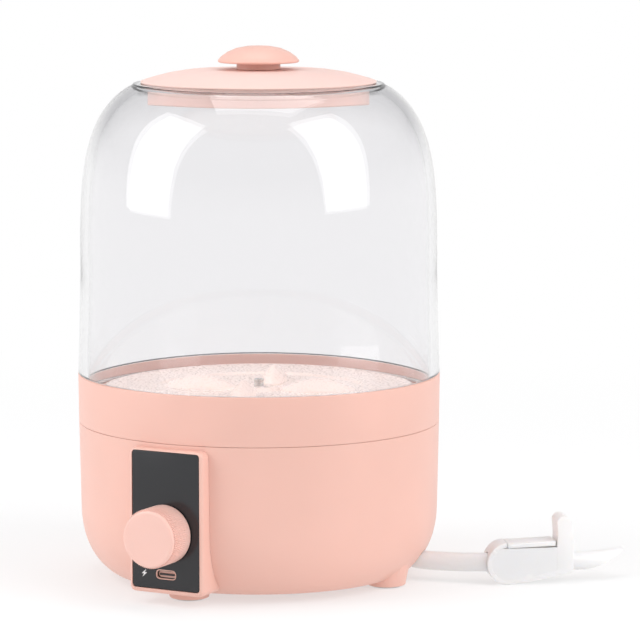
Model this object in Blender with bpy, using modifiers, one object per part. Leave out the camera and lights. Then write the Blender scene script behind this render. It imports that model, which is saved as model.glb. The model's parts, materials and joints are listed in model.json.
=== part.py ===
"""Mini tabletop washing machine: clear tub, pulsator drive, control panel and drain hose with a pinch clamp.

All sizes below are in millimetres and are turned into metres where meshes are made.
The frame has +Z up, the control panel faces -Y, and Z = 0 is the table. Every piece hangs from one
empty on the tub's axis, which stands AXIS_Y behind the middle of the machine's depth.
"""

import bmesh
import bpy
import math
from mathutils import Matrix, Vector

MM = 0.001
GAP = 0.3  # left between pieces that touch
CROWDED = ("lower_housing", "basin", "gearbox_base")  # too many Booleans on one piece for the EXACT solver

# Shells: radii are measured from the tub's axis.
ROUND_STEPS = 32
MIDDLE_STEPS = 16
SMALL_STEPS = 8
SEAM_Z = 67.1  # between the lower housing and the upper ring
RING_TOP_Z = 87.6
HOUSING_R = 77.05
RING_TOP_R = 77.3
HOUSING_WALL = 2.4
HOUSING_BOTTOM_Z = 3.0
TUB_WALL = 3.5
TUB_RIM_Z = 210.9
TUB_RIM_R = 53.0
MOUTH_R = 47.6
SPIGOT_R = (72.5, 74.6)
SPIGOT_Z = 84.2
BASIN_R = (72.4, 74.7)
BASIN_TOP_Z = 82.6
BASIN_FLOOR_Z = 74.0
BASIN_FLOOR_WALL = 2.2
COVER_R = 49.9
COVER_TOP_Z = 5.3

# Feet
FOOT_RADIUS = 61.0
FOOT_BOSS_R = 8.2
FOOT_BOSS_Z = 0.6
PAD_R = 6.8
PAD_TOP_Z = 1.9

# Control panel, in front of the housing
PANEL_FRONT_Y = -80.5
PANEL_WIDTH = 34.7
PANEL_Z = (5.0, 65.2)
WINDOW_WIDTH = 31.4
WINDOW_Z = (7.7, 63.6)
WINDOW_THICK = 1.2
WINDOW_BACK_Y = PANEL_FRONT_Y + 0.2 + WINDOW_THICK
BEZEL_PLATE_Y = WINDOW_BACK_Y + GAP + 1.5  # back of the bezel's plate, behind the window
BOARD_Y = (-73.9, -72.3)
BOARD_HALF_WIDTH = 13.0
BOARD_Z = (9.5, 61.0)
KNOB_Z = 30.4
KNOB_R = 12.5
KNOB_Y = (-95.1, -81.0)
USB_Z = 13.2
DISPLAY_Z = 53.0

# Drive under the basin
GEAR_MODULE = 1.0
GEAR_TEETH = 40
PINION_TEETH = 10
MOTOR_Y = GEAR_MODULE * (GEAR_TEETH + PINION_TEETH) / 2 + 0.1
GEAR_Z = (54.6, 60.6)
GEARBOX_Z = (50.0, 61.6)
GEARBOX_COVER_Z = (61.9, 64.3)
GEARBOX_R = 24.8
GEARBOX_REAR_R = 16.0
SHAFT_R = 3.0
SHAFT_BORE_R = 3.35
MOTOR_R = 14.0
MOTOR_Z = (18.0, 49.7)
PULSATOR_R = 66.0
PULSATOR_RIM_Z = 85.0
FIN_RADIUS = 26.0
FIN_AZIMUTH = 14.0
TALL_FIN = (13.0, 5.2, 6.9)  # half length, half width, height
BROAD_FIN = (17.0, 9.0, 5.4)

# Drain: the hose leaves the housing HOSE_AZIMUTH degrees round from the front
HOSE_R = 4.0
HOSE_AZIMUTH = 104.0
HOSE_CUT_LENGTH = 24.0  # the free end is cut on a long slant, from below up to a tip
HOSE_CUT_RISE = 7.8
HOSE_TIP = 0.7
HOSE_CLEARANCE = 0.4  # around the hose where it passes through a wall

# Clamp on the hose, in its own frame: X along it from the housing, Z up
CLAMP_START = (95.9, 24.0)
CLAMP_AZIMUTH = 35.4
CLAMP_LOOP_R = 9.0
CLAMP_HALF_WIDTH = 6.0
CLAMP_STRIP = 2.0
CLAMP_LENGTH = 37.3
CLAMP_POST_X = 29.8
CLAMP_POST_TOP = 28.9
CLAMP_PIVOT = (9.6, 16.7)
CLAMP_GUARD_Y = (4.7, 5.9)  # thin side walls that keep the hose between the arms
CLAMP_GUARD_TOP = 15.2
CLAMP_RIDGE_HALF_WIDTH = 4.3

# The origin is at the middle of the bounding box: the knob's face is the front, the ring the back.
AXIS_Y = -(KNOB_Y[0] + RING_TOP_R) / 2

COLOURS = {
    "pink": ((0.87, 0.53, 0.46), 0.45, 0.0),
    "pale_pink": ((0.99, 0.79, 0.74), 0.45, 0.0),
    "clear": ((0.92, 0.92, 0.93), 0.05, 0.0),
    "milky": ((0.86, 0.83, 0.81), 0.3, 0.0),
    "black_gloss": ((0.03, 0.03, 0.03), 0.1, 0.0),
    "black": ((0.05, 0.05, 0.05), 0.5, 0.0),
    "grey_rubber": ((0.55, 0.54, 0.53), 0.8, 0.0),
    "white_plastic": ((0.8, 0.79, 0.76), 0.5, 0.0),
    "steel": ((0.6, 0.6, 0.6), 0.3, 1.0),
    "brass": ((0.7, 0.5, 0.25), 0.35, 1.0),
    "green_board": ((0.03, 0.2, 0.09), 0.5, 0.0),
    "red": ((0.6, 0.03, 0.03), 0.5, 0.0),
}


# ---------------------------------------------------------------- helpers

def clear_scene():
    for old in list(bpy.data.objects):
        bpy.data.objects.remove(old, do_unlink=True)


def collection(name):
    made = bpy.data.collections.new(name)
    bpy.context.scene.collection.children.link(made)
    return made


def material(name, look):
    colour, roughness, metallic = COLOURS[look]
    made = bpy.data.materials.new(name)
    made.use_nodes = True
    shader = made.node_tree.nodes["Principled BSDF"]
    shader.inputs["Base Color"].default_value = (*colour, 1.0)
    shader.inputs["Roughness"].default_value = roughness
    shader.inputs["Metallic"].default_value = metallic
    return made


def place(name, data, look, parent, at=(0, 0, 0), turn=(0, 0, 0)):
    """Add an object under its parent. With no look it is a cutter."""
    made = bpy.data.objects.new(name, data)
    if look is None:
        CUTTERS.objects.link(made)
        made.hide_render = True
        made.display_type = "WIRE"
    else:
        PARTS.objects.link(made)
        made.data.materials.append(material(name, look))
    made.parent = parent
    made.location = Vector(at) * MM
    made.rotation_euler = [math.radians(angle) for angle in turn]
    return made


def pivot(name, parent, at=(0, 0, 0), turn=(0, 0, 0)):
    made = bpy.data.objects.new(name, None)
    PARTS.objects.link(made)
    made.parent = parent
    made.location = Vector(at) * MM
    made.rotation_euler = [math.radians(angle) for angle in turn]
    return made


def turned(name, profile, look, parent, at=(0, 0, 0), turn=(0, 0, 0), steps=ROUND_STEPS, closed=True):
    """Turn a profile of (radius, z) points about Z: down its outer side, and back up inside if closed."""
    mesh = bpy.data.meshes.new(name)
    points = [(radius * MM, 0, z * MM) for radius, z in profile]
    edges = [(i, i + 1) for i in range(len(points) - 1)]
    if closed:
        edges.append((len(points) - 1, 0))
    mesh.from_pydata(points, edges, [])
    made = place(name, mesh, look, parent, at, turn)
    screw = made.modifiers.new("Turn", "SCREW")
    screw.steps = steps
    screw.render_steps = steps
    screw.use_merge_vertices = True
    screw.merge_threshold = 0.00001
    return made


def ring(name, inner, outer, z0, z1, look, parent, **options):
    return turned(name, [(outer, z1), (outer, z0), (inner, z0), (inner, z1)], look, parent, **options)


def disc(name, radius, z0, z1, look, parent, steps=MIDDLE_STEPS, **options):
    profile = [(0, z1), (radius, z1), (radius, z0), (0, z0)]
    return turned(name, profile, look, parent, steps=steps, closed=False, **options)


def block(name, size, look, parent, at=(0, 0, 0), turn=(0, 0, 0), bevel=0.0, segments=2):
    mesh = bpy.data.meshes.new(name)
    shape = bmesh.new()
    bmesh.ops.create_cube(shape, size=1.0)
    bmesh.ops.scale(shape, vec=Vector(size) * MM, verts=shape.verts)
    shape.to_mesh(mesh)
    shape.free()
    made = place(name, mesh, look, parent, at, turn)
    if bevel:
        rounding = made.modifiers.new("Rounding", "BEVEL")
        rounding.width = bevel * MM
        rounding.segments = segments
        rounding.limit_method = "ANGLE"
    return made


def box_between(name, low, high, look, parent, **options):
    size = [b - a for a, b in zip(low, high)]
    centre = [(a + b) / 2 for a, b in zip(low, high)]
    return block(name, size, look, parent, at=centre, **options)


def mesh_from_curve(curve, name):
    """Turn a curve into a closed mesh with welded caps."""
    holder = bpy.data.objects.new(name, curve)
    CUTTERS.objects.link(holder)
    graph = bpy.context.evaluated_depsgraph_get()
    mesh = bpy.data.meshes.new_from_object(holder.evaluated_get(graph))
    bpy.data.objects.remove(holder)
    shape = bmesh.new()
    shape.from_mesh(mesh)
    bmesh.ops.remove_doubles(shape, verts=shape.verts, dist=0.000001)
    bmesh.ops.recalc_face_normals(shape, faces=shape.faces)
    shape.to_mesh(mesh)
    shape.free()
    mesh.name = name
    return mesh


def plate(name, outlines, z0, z1, look, parent, at=(0, 0, 0), turn=(0, 0, 0)):
    """A flat piece from closed outlines of (x, y) points; inner outlines are its holes."""
    curve = bpy.data.curves.new(name, "CURVE")
    curve.dimensions = "2D"
    curve.fill_mode = "BOTH"
    curve.extrude = (z1 - z0) / 2 * MM
    for outline in outlines:
        spline = curve.splines.new("POLY")
        spline.points.add(len(outline) - 1)
        for point, (x, y) in zip(spline.points, outline):
            point.co = (x * MM, y * MM, 0, 1)
        spline.use_cyclic_u = True
    mesh = mesh_from_curve(curve, name)
    mesh.transform(Matrix.Translation((0, 0, (z0 + z1) / 2 * MM)))
    return place(name, mesh, look, parent, at, turn)


def rod(name, points, radius, look, parent, sides=2):
    """A round bar along a list of points."""
    curve = bpy.data.curves.new(name, "CURVE")
    curve.dimensions = "3D"
    curve.bevel_depth = radius * MM
    curve.bevel_resolution = sides
    curve.use_fill_caps = True
    spline = curve.splines.new("POLY")
    spline.points.add(len(points) - 1)
    for point, place_at in zip(spline.points, points):
        point.co = (*(Vector(place_at) * MM), 1)
    return place(name, mesh_from_curve(curve, name), look, parent)


def combine(target, other, operation):
    change = target.modifiers.new(other.name, "BOOLEAN")
    change.operation = operation
    change.object = other
    change.solver = "MANIFOLD" if target.name in CROWDED else "EXACT"


def cut(target, *cutters):
    for cutter in cutters:
        combine(target, cutter, "DIFFERENCE")


def join(target, *others):
    for other in others:
        combine(target, other, "UNION")


def circle(radius, count=24, centre=(0, 0), first=0.0):
    turns = [first + 2 * math.pi * i / count for i in range(count)]
    return [(centre[0] + radius * math.cos(a), centre[1] + radius * math.sin(a)) for a in turns]


def around(radius, azimuth, z=0.0):
    """A point at a radius from the tub's axis, azimuth degrees round from the front towards +X."""
    angle = math.radians(azimuth)
    return (radius * math.sin(angle), -radius * math.cos(angle), z)


def smooth_route(knots, spacing):
    """Points along a Catmull-Rom curve through the knots, about spacing apart."""
    knots = [Vector(knot) for knot in knots]
    ends = [2 * knots[0] - knots[1], *knots, 2 * knots[-1] - knots[-2]]
    route = [knots[0]]
    for a, b, c, d in zip(ends, ends[1:], ends[2:], ends[3:]):
        count = max(1, round((c - b).length / spacing))
        for step in range(1, count + 1):
            t = step / count
            route.append(0.5 * (2 * b + (c - a) * t + (2 * a - 5 * b + 4 * c - d) * t ** 2
                                + (3 * b - a - 3 * c + d) * t ** 3))
    return route


def quarter(centre, reach, power, angles):
    """Points of a superellipse quarter: reach is its half-width and half-height from the centre."""
    return [(centre[0] + reach[0] * math.cos(math.radians(a)) ** (2 / power),
             centre[1] + reach[1] * math.sin(math.radians(a)) ** (2 / power)) for a in angles]


def screw(name, look, parent, at, head_r, head_h, shank_r, length, up=True, turn=(0, 0, 0)):
    """A pan-head screw: its head's inner face is at Z = 0 and its shank points up, or down."""
    profile = [(0, length), (shank_r, length), (shank_r, 0), (head_r, 0), (head_r, -head_h), (0, -head_h)]
    if not up:
        profile = [(radius, -z) for radius, z in reversed(profile)]
    return turned(name, profile, look, parent, at=at, turn=turn, steps=SMALL_STEPS, closed=False)


# ---------------------------------------------------------------- shells

def housing_outline(offset=0.0):
    """Outer side of the lower housing from the seam down to its flat underside."""
    curve = quarter((47.4, 32.9), (29.0 + offset, -33.6 - offset), 2.4, (0, 20, 36, 50, 61))
    bottom = HOUSING_BOTTOM_Z - offset
    side = [(radius, z) for radius, z in curve if z > bottom + 0.6]
    return [(HOUSING_R + offset, SEAM_Z - GAP)] + side + [(60.5 + offset * 0.5, bottom)]


def housing_solid(name, offset, parent):
    outline = housing_outline(offset)
    top = outline[0][1] + (0 if offset <= 0 else 8)
    profile = [(0, top), (outline[0][0], top)] + outline[1:] + [(0, outline[-1][1])]
    return turned(name, profile, None, parent, closed=False)


def make_lower_housing(base):
    outline = housing_outline()
    housing = turned("lower_housing", [(0, outline[0][1])] + outline + [(0, outline[-1][1])],
                     "pink", base, closed=False)
    for number in range(4):
        at = around(FOOT_RADIUS, 90 * number)
        boss = turned(f"boss_{number + 1}", [(0, 8.6), (9.0, 8.6), (FOOT_BOSS_R, FOOT_BOSS_Z), (0, FOOT_BOSS_Z)],
                      None, base, at=at, steps=MIDDLE_STEPS, closed=False)
        join(housing, boss)
    inside = housing_outline(-HOUSING_WALL)
    hollow = turned("housing_hollow", [(0, SEAM_Z + 5), (inside[0][0], SEAM_Z + 5)] + inside[1:] + [(0, inside[-1][1])],
                    None, base, closed=False)
    cut(housing, hollow)
    ledge = ring("cover_ledge", 43.0, 53.0, HOUSING_BOTTOM_Z + 0.5, 9.4, None, base)
    join(housing, ledge)
    cut(housing, disc("cover_recess", COVER_R + GAP, HOUSING_BOTTOM_Z - 2, COVER_TOP_Z + GAP, None, base,
                      steps=ROUND_STEPS))
    for number in range(4):
        at = around(FOOT_RADIUS, 90 * number)
        cut(housing, disc(f"pad_recess_{number + 1}", PAD_R + GAP, -1, PAD_TOP_Z + GAP, None, base, at=at))
        cut(housing, disc(f"cover_screw_hole_{number + 1}", 1.6, 4, 12, None, base, steps=SMALL_STEPS,
                          at=around(46.5, 45 + 90 * number)))
    cut(housing, box_between("panel_opening", (-14, -90, 8.5), (14, -55, 62), None, base))
    cut(housing, rod("hose_hole", HOSE_ROUTE, HOSE_R + HOSE_CLEARANCE, None, base, sides=3))
    return housing


def make_bottom_cover(base):
    cover = disc("bottom_cover", COVER_R, HOUSING_BOTTOM_Z, COVER_TOP_Z, "pink", base, steps=ROUND_STEPS)
    for number in range(4):
        at = around(46.5, 45 + 90 * number)
        cut(cover, disc(f"cover_counterbore_{number + 1}", 2.9, 1, 4.3, None, base, steps=SMALL_STEPS, at=at))
        cut(cover, disc(f"cover_hole_{number + 1}", 1.6, 1, 8, None, base, steps=SMALL_STEPS, at=at))
        screw(f"cover_screw_{number + 1}", "steel", base, (*at[:2], 4.0), 2.5, 0.9, 1.25, 5.0)


def make_feet(base):
    for number in range(4):
        disc(f"foot_pad_{number + 1}", PAD_R, 0, PAD_TOP_Z, "grey_rubber", base,
             at=around(FOOT_RADIUS, 90 * number))


def make_upper_ring(base):
    tongue = HOUSING_R - HOUSING_WALL - GAP
    profile = [(RING_TOP_R, RING_TOP_Z), (HOUSING_R, SEAM_Z), (tongue, SEAM_Z), (tongue, 62.5),
               (tongue - 1.8, 62.5), (tongue - 1.8, 67.4), (65.5, 67.4), (65.5, 69.8),
               (BASIN_R[1] + GAP, 69.8), (BASIN_R[1] + GAP, RING_TOP_Z)]
    upper = turned("upper_ring", profile, "pink", base)
    for number in range(4):
        cut(upper, disc(f"ring_screw_hole_{number + 1}", 1.6, 60, 72, None, base, steps=SMALL_STEPS,
                        at=around(69.0, 45 + 90 * number)))


def make_basin(base):
    low = BASIN_FLOOR_Z - BASIN_FLOOR_WALL
    profile = [(BASIN_R[1], BASIN_TOP_Z), (BASIN_R[1], 70.1), (64.0, 70.1), (62.5, low), (9.0, low), (7.5, 66.0),
               (SHAFT_BORE_R, 66.0), (SHAFT_BORE_R, 70.2), (5.8, 70.2), (5.8, 76.0), (8.0, 76.0), (9.0, 74.0),
               (64.0, BASIN_FLOOR_Z), (69.5, 75.3), (BASIN_R[0], 78.0), (BASIN_R[0], BASIN_TOP_Z)]
    basin = turned("basin", profile, "pink", base)
    for number in range(4):
        at = around(69.0, 45 + 90 * number)
        cut(basin, disc(f"basin_screw_hole_{number + 1}", 1.6, 69, 73.6, None, base, steps=SMALL_STEPS, at=at))
        screw(f"basin_screw_{number + 1}", "steel", base, (*at[:2], 67.1), 2.5, 1.4, 1.25, 6.0)
    for number, at in enumerate(GEARBOX_SCREWS, 1):
        join(basin, disc(f"gearbox_pillar_{number}", 4.0, GEARBOX_COVER_Z[1] + GAP, low + 0.8, None, base,
                         steps=MIDDLE_STEPS, at=at))
        cut(basin, disc(f"gearbox_pillar_hole_{number}", 1.6, 60, 70.5, None, base, steps=SMALL_STEPS, at=at))
    cut(basin, disc("drain_opening", 3.0, 60, 90, None, base, steps=MIDDLE_STEPS, at=DRAIN_ROUTE[0]))


def make_tub(base):
    ring("tub_seal", BASIN_R[0] + 0.3, BASIN_R[1] - 0.2, BASIN_TOP_Z + GAP, SPIGOT_Z - GAP, "grey_rubber", base)
    centre = (12.2, 130.0)
    reach = (63.8, 85.5)
    outside = quarter(centre, reach, 3.65, (63.4, 57, 49, 40, 29, 15, 0))
    inside = quarter(centre, (reach[0] - TUB_WALL, reach[1] - TUB_WALL), 3.65, (0, 15, 29, 40, 49, 57, 64))
    profile = [(TUB_RIM_R, TUB_RIM_Z)] + outside + [
        (RING_TOP_R, RING_TOP_Z + GAP), (SPIGOT_R[1], RING_TOP_Z + GAP), (SPIGOT_R[1], SPIGOT_Z),
        (SPIGOT_R[0], SPIGOT_Z)] + inside + [(MOUTH_R, 207.9), (MOUTH_R, TUB_RIM_Z)]
    turned("clear_tub", profile, "clear", base)


# ---------------------------------------------------------------- control panel

def make_panel(base):
    bezel = box_between("panel_bezel", (-PANEL_WIDTH / 2, PANEL_FRONT_Y, PANEL_Z[0]),
                        (PANEL_WIDTH / 2, -60, PANEL_Z[1]), "pink", base, bevel=1.6, segments=3)
    cut(bezel, housing_solid("housing_clearance", GAP, base))
    cut(bezel, disc("front_boss_clearance", 9.4, 0, 9, None, base, at=around(FOOT_RADIUS, 0)))
    cut(bezel, block("window_pocket", (WINDOW_WIDTH + 2 * GAP, 4, WINDOW_Z[1] - WINDOW_Z[0] + 2 * GAP), None, base,
                     at=(0, WINDOW_BACK_Y + GAP - 2, sum(WINDOW_Z) / 2)))
    cut(bezel, box_between("bezel_hollow", (-14, BEZEL_PLATE_Y, 9), (14, -50, 61.6), None, base))
    cut(bezel, box_between("encoder_opening", (-6.6, -90, KNOB_Z - 6.6), (6.6, -70, KNOB_Z + 6.6), None, base))
    cut(bezel, box_between("usb_opening", (-5.2, -90, USB_Z - 2.4), (5.2, -70, USB_Z + 2.4), None, base))
    cut(bezel, box_between("display_opening", (-10.4, -90, DISPLAY_Z - 4.9), (10.4, -70, DISPLAY_Z + 4.9),
                           None, base))
    for side in (-1, 1):
        at = (side * 10, 0, 43)
        post = disc(f"board_post_{side}", 2.4, BEZEL_PLATE_Y - 0.5, BOARD_Y[0] - GAP, None, base, steps=SMALL_STEPS,
                    at=at, turn=(-90, 0, 0))
        join(bezel, post)
        cut(bezel, disc(f"board_post_hole_{side}", 1.3, -76.6, -70, None, base, steps=SMALL_STEPS, at=at, turn=(-90, 0, 0)))

    window = block("panel_window", (WINDOW_WIDTH, WINDOW_THICK, WINDOW_Z[1] - WINDOW_Z[0]), "black_gloss", base,
                   at=(0, WINDOW_BACK_Y - WINDOW_THICK / 2, sum(WINDOW_Z) / 2))
    cut(window, disc("window_shaft_hole", 4.2, -90, -70, None, base, steps=MIDDLE_STEPS, at=(0, 0, KNOB_Z), turn=(-90, 0, 0)))
    cut(window, plate("window_usb_hole", [slot_outline(9.6, 3.9)], -10, 10, None, base,
                      at=(0, -80, USB_Z), turn=(90, 0, 0)))


def slot_outline(width, height, count=6):
    radius = height / 2
    reach = width / 2 - radius
    points = []
    for side in (1, -1):
        for step in range(count + 1):
            angle = math.radians(-90 + 180 * step / count)
            points.append((side * (reach + radius * math.cos(angle)), side * radius * math.sin(angle)))
    return points


def make_electronics(base):
    board = box_between("control_board", (-BOARD_HALF_WIDTH, BOARD_Y[0], BOARD_Z[0]),
                        (BOARD_HALF_WIDTH, BOARD_Y[1], BOARD_Z[1]), "green_board", base)
    for number, side in enumerate((-1, 1), 1):
        cut(board, disc(f"board_hole_{number}", 1.5, -80, -60, None, base, steps=SMALL_STEPS,
                        at=(side * 10, 0, 43), turn=(-90, 0, 0)))
        screw(f"board_screw_{number}", "steel", base, (side * 10, BOARD_Y[1] + GAP, 43), 2.3, 1.2, 1.0, 4.0,
              turn=(90, 0, 0))
    box_between("display_module", (-10, WINDOW_BACK_Y + GAP, DISPLAY_Z - 4.5),
                (10, BOARD_Y[0] - GAP, DISPLAY_Z + 4.5), "black", base)
    encoder = box_between("encoder_body", (-6.2, WINDOW_BACK_Y + GAP, KNOB_Z - 6.2),
                          (6.2, BOARD_Y[0] - GAP, KNOB_Z + 6.2), "steel", base)
    cut(encoder, disc("encoder_bore", SHAFT_BORE_R, -90, -75.6, None, base, steps=MIDDLE_STEPS, at=(0, 0, KNOB_Z),
                      turn=(-90, 0, 0)))
    shell = plate("usb_socket", [slot_outline(8.94, 3.26), slot_outline(8.34, 2.66)], 74.2, 80.2, "steel", base,
                  at=(0, 0, USB_Z), turn=(90, 0, 0))
    rear = plate("usb_rear", [slot_outline(8.94, 3.26)], 74.2, 74.6, None, base, at=(0, 0, USB_Z), turn=(90, 0, 0))
    join(shell, rear)
    box_between("usb_tongue", (-3.3, -79.6, USB_Z - 0.35), (3.3, -74.9, USB_Z + 0.35), "black", base)


def make_knob(base):
    axis = pivot("knob_axis", base, at=(0, KNOB_Y[1], KNOB_Z), turn=(90, 0, 0))
    length = KNOB_Y[1] - KNOB_Y[0]
    profile = [(0, length), (KNOB_R - 2.0, length), (KNOB_R - 0.6, length - 0.6), (KNOB_R, length - 2.0),
               (KNOB_R, 0.4), (KNOB_R - 0.4, 0), (KNOB_R - 2.0, 0), (KNOB_R - 2.0, length - 2.4),
               (5.4, length - 2.4), (5.4, 0.6), (SHAFT_BORE_R, 0.6), (SHAFT_BORE_R, length - 3.6),
               (0, length - 3.6)]
    turned("control_knob", profile, "pale_pink", axis, steps=ROUND_STEPS, closed=False)
    reach = BOARD_Y[0] - GAP - 1.2 - KNOB_Y[1]
    disc("encoder_shaft", SHAFT_R, -reach + 0.3, length - 4.0, "steel", axis, steps=MIDDLE_STEPS)


# ---------------------------------------------------------------- drive

def gear_outline(teeth, module, first=0.0):
    """Straight-flanked teeth, narrower at the tip and wider at the root."""
    pitch = module * teeth / 2
    points = []
    for tooth in range(teeth):
        middle = first + 2 * math.pi * tooth / teeth
        root = pitch - 1.2 * module
        foot = min(1.05 * module, 0.96 * math.pi / teeth * root)
        tip = pitch + 0.9 * module
        for radius, half in ((root, -foot), (tip, -0.3 * module), (tip, 0.3 * module), (root, foot)):
            angle = middle + half / radius
            points.append((radius * math.cos(angle), radius * math.sin(angle)))
    return points


def gearbox_outline(offset=0.0):
    """Two circles, over the shaft and over the motor, and the straight sides that touch both."""
    big = GEARBOX_R + offset
    small = GEARBOX_REAR_R + offset
    lean = math.asin((big - small) / MOTOR_Y)
    front = [math.pi - lean + (math.pi + 2 * lean) * i / 18 for i in range(19)]
    points = [(big * math.cos(a), big * math.sin(a)) for a in front]
    rear = [lean + (math.pi - 2 * lean) * i / 8 for i in range(9)]
    return points + [(small * math.cos(a), MOTOR_Y + small * math.sin(a)) for a in rear]


def make_gearbox(base):
    lower = plate("gearbox_base", [gearbox_outline()], *GEARBOX_Z, "white_plastic", base)
    cut(lower, plate("gearbox_hollow", [gearbox_outline(-2.2)], 52.4, 70, None, base))
    cover = plate("gearbox_cover", [gearbox_outline()], *GEARBOX_COVER_Z, "white_plastic", base)
    for number, at in enumerate(GEARBOX_SCREWS, 1):
        join(lower, disc(f"gearbox_ear_{number}", 4.0, *GEARBOX_Z, None, base, steps=MIDDLE_STEPS, at=at))
        join(cover, disc(f"cover_ear_{number}", 4.0, *GEARBOX_COVER_Z, None, base, steps=MIDDLE_STEPS, at=at))
        hole = disc(f"gearbox_hole_{number}", 1.6, 40, 66, None, base, steps=SMALL_STEPS, at=at)
        cut(lower, hole)
        cut(cover, hole)
        screw(f"gearbox_screw_{number}", "steel", base, (*at[:2], GEARBOX_Z[0] - GAP), 2.6, 1.6, 1.25, 20.0)
    cut(lower, disc("lower_bush_seat", 5.3, 40, 60, None, base, steps=MIDDLE_STEPS))
    cut(cover, disc("upper_bush_seat", 5.3, 55, 70, None, base, steps=MIDDLE_STEPS))
    cut(lower, disc("pinion_opening", 3.4, 40, 60, None, base, steps=MIDDLE_STEPS, at=(0, MOTOR_Y, 0)))
    for number, side in enumerate((-1, 1), 1):
        at = (side * 8.0, MOTOR_Y, 0)
        cut(lower, disc(f"motor_screw_hole_{number}", 1.4, 40, 60, None, base, steps=SMALL_STEPS, at=at))
    bush = [(5.0, 54.2), (5.0, 50.2), (SHAFT_BORE_R, 50.2), (SHAFT_BORE_R, 54.2)]
    turned("lower_bush", bush, "brass", base, steps=MIDDLE_STEPS)
    turned("upper_bush", [(radius, z + 10.8) for radius, z in bush], "brass", base, steps=MIDDLE_STEPS)
    ring("shaft_seal", SHAFT_BORE_R, 5.5, 70.5, 75.6, "black", base, steps=MIDDLE_STEPS)


def make_motor(base):
    at = (0, MOTOR_Y, 0)
    low, high = MOTOR_Z
    can = turned("motor_can", [(MOTOR_R, high), (MOTOR_R, low + 2.3), (MOTOR_R - 1.2, low + 2.3),
                               (MOTOR_R - 1.2, high - 1.2), (1.6, high - 1.2), (1.6, high)],
                 "steel", base, at=at, steps=24)
    turned("motor_end_cap", [(MOTOR_R, low + 2.0), (MOTOR_R, low), (1.6, low), (1.6, low + 2.0)],
           "black", base, at=at, steps=24)
    for number, side in enumerate((-1, 1), 1):
        hole_at = (side * 8.0, MOTOR_Y, 0)
        cut(can, disc(f"can_screw_hole_{number}", 1.4, high - 2, high + 1, None, base, steps=SMALL_STEPS, at=hole_at))
        screw(f"motor_screw_{number}", "steel", base, (side * 8.0, MOTOR_Y, 52.4 + GAP), 2.0, 1.2, 1.05, 3.9,
              up=False)
    for number, (name, look) in enumerate((("motor_wire_red", "red"), ("motor_wire_black", "black"))):
        side = -1 if number == 0 else 1
        knots = [(side * 5, MOTOR_Y, low - 0.4), (side * 5, MOTOR_Y - 4, 13), (side * 6, -10, 12.6),
                 (side * 7, -50, 14), (side * 7, -66, 18), (side * 7, BOARD_Y[1] + 0.4, 20)]
        rod(name, smooth_route(knots, 6), 0.7, look, base, sides=1)


def make_drive(base):
    spin = pivot("pulsator_axis", base)
    rim = PULSATOR_RIM_Z
    profile = [(0, rim - 1.2), (8.0, rim - 1.2), (14.0, rim - 2.8), (30.0, rim - 2.4), (52.0, rim - 1.2),
               (62.0, rim - 0.1), (65.0, rim), (PULSATOR_R, rim - 0.8), (PULSATOR_R, rim - 3.4),
               (PULSATOR_R - 1.8, rim - 3.4), (PULSATOR_R - 1.8, rim - 2.2), (52.0, rim - 3.4),
               (30.0, rim - 4.6), (10.0, rim - 5.0), (SHAFT_R + 4.2, rim - 5.2), (SHAFT_BORE_R, rim - 5.2),
               (SHAFT_BORE_R, rim - 2.8), (0, rim - 2.8)]
    disc_piece = turned("pulsator", profile, "milky", spin, closed=False)
    for number in range(4):
        join(disc_piece, make_fin(number, spin))
    cut(disc_piece, disc("pulsator_screw_hole", 1.7, rim - 4, rim + 2, None, spin, steps=SMALL_STEPS))
    screw("pulsator_screw", "steel", spin, (0, 0, rim - 1.2 + GAP), 2.2, 2.6, 1.35, 9.0, up=False)
    shaft = disc("output_shaft", SHAFT_R, 51.0, rim - 3.1, "steel", spin)
    cut(shaft, disc("shaft_thread_hole", 1.7, rim - 11.5, rim, None, spin, steps=SMALL_STEPS))
    plate("drive_gear", [gear_outline(GEAR_TEETH, GEAR_MODULE, first=math.radians(90 - 180 / GEAR_TEETH)),
                         circle(SHAFT_BORE_R)], *GEAR_Z, "white_plastic", spin)
    rotor = pivot("motor_axis", base, at=(0, MOTOR_Y, 0))
    disc("motor_shaft", 1.0, MOTOR_Z[0] - 1.0, GEAR_Z[1] + 0.2, "steel", rotor, steps=MIDDLE_STEPS)
    ring("armature", 1.3, 11.4, 24.0, 44.0, "brass", rotor, steps=MIDDLE_STEPS)
    plate("pinion_gear", [gear_outline(PINION_TEETH, GEAR_MODULE, first=math.radians(-90)),
                          circle(1.3, 16)], *GEAR_Z, "brass", rotor)


def make_fin(number, spin):
    """One long dome, drawn in towards its crest. Tall and broad ones take turns."""
    length, width, rise = (TALL_FIN, BROAD_FIN)[number % 2]
    mesh = bpy.data.meshes.new(f"fin_{number + 1}")
    shape = bmesh.new()
    bmesh.ops.create_uvsphere(shape, u_segments=12, v_segments=6, radius=1.0)
    for vertex in shape.verts:
        height = max(vertex.co.z, 0.0)
        vertex.co.x *= length * (1 - 0.35 * height ** 2)
        vertex.co.y *= width * (1 - 0.35 * height ** 2)
        vertex.co.z *= rise if vertex.co.z > 0 else 1.6
    bmesh.ops.scale(shape, vec=(MM, MM, MM), verts=shape.verts)
    shape.to_mesh(mesh)
    shape.free()
    azimuth = FIN_AZIMUTH + 90 * number
    return place(f"fin_{number + 1}", mesh, None, spin, at=around(FIN_RADIUS, azimuth, PULSATOR_RIM_Z - 2.6),
                 turn=(0, 0, azimuth - 90))


# ---------------------------------------------------------------- lid

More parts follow.
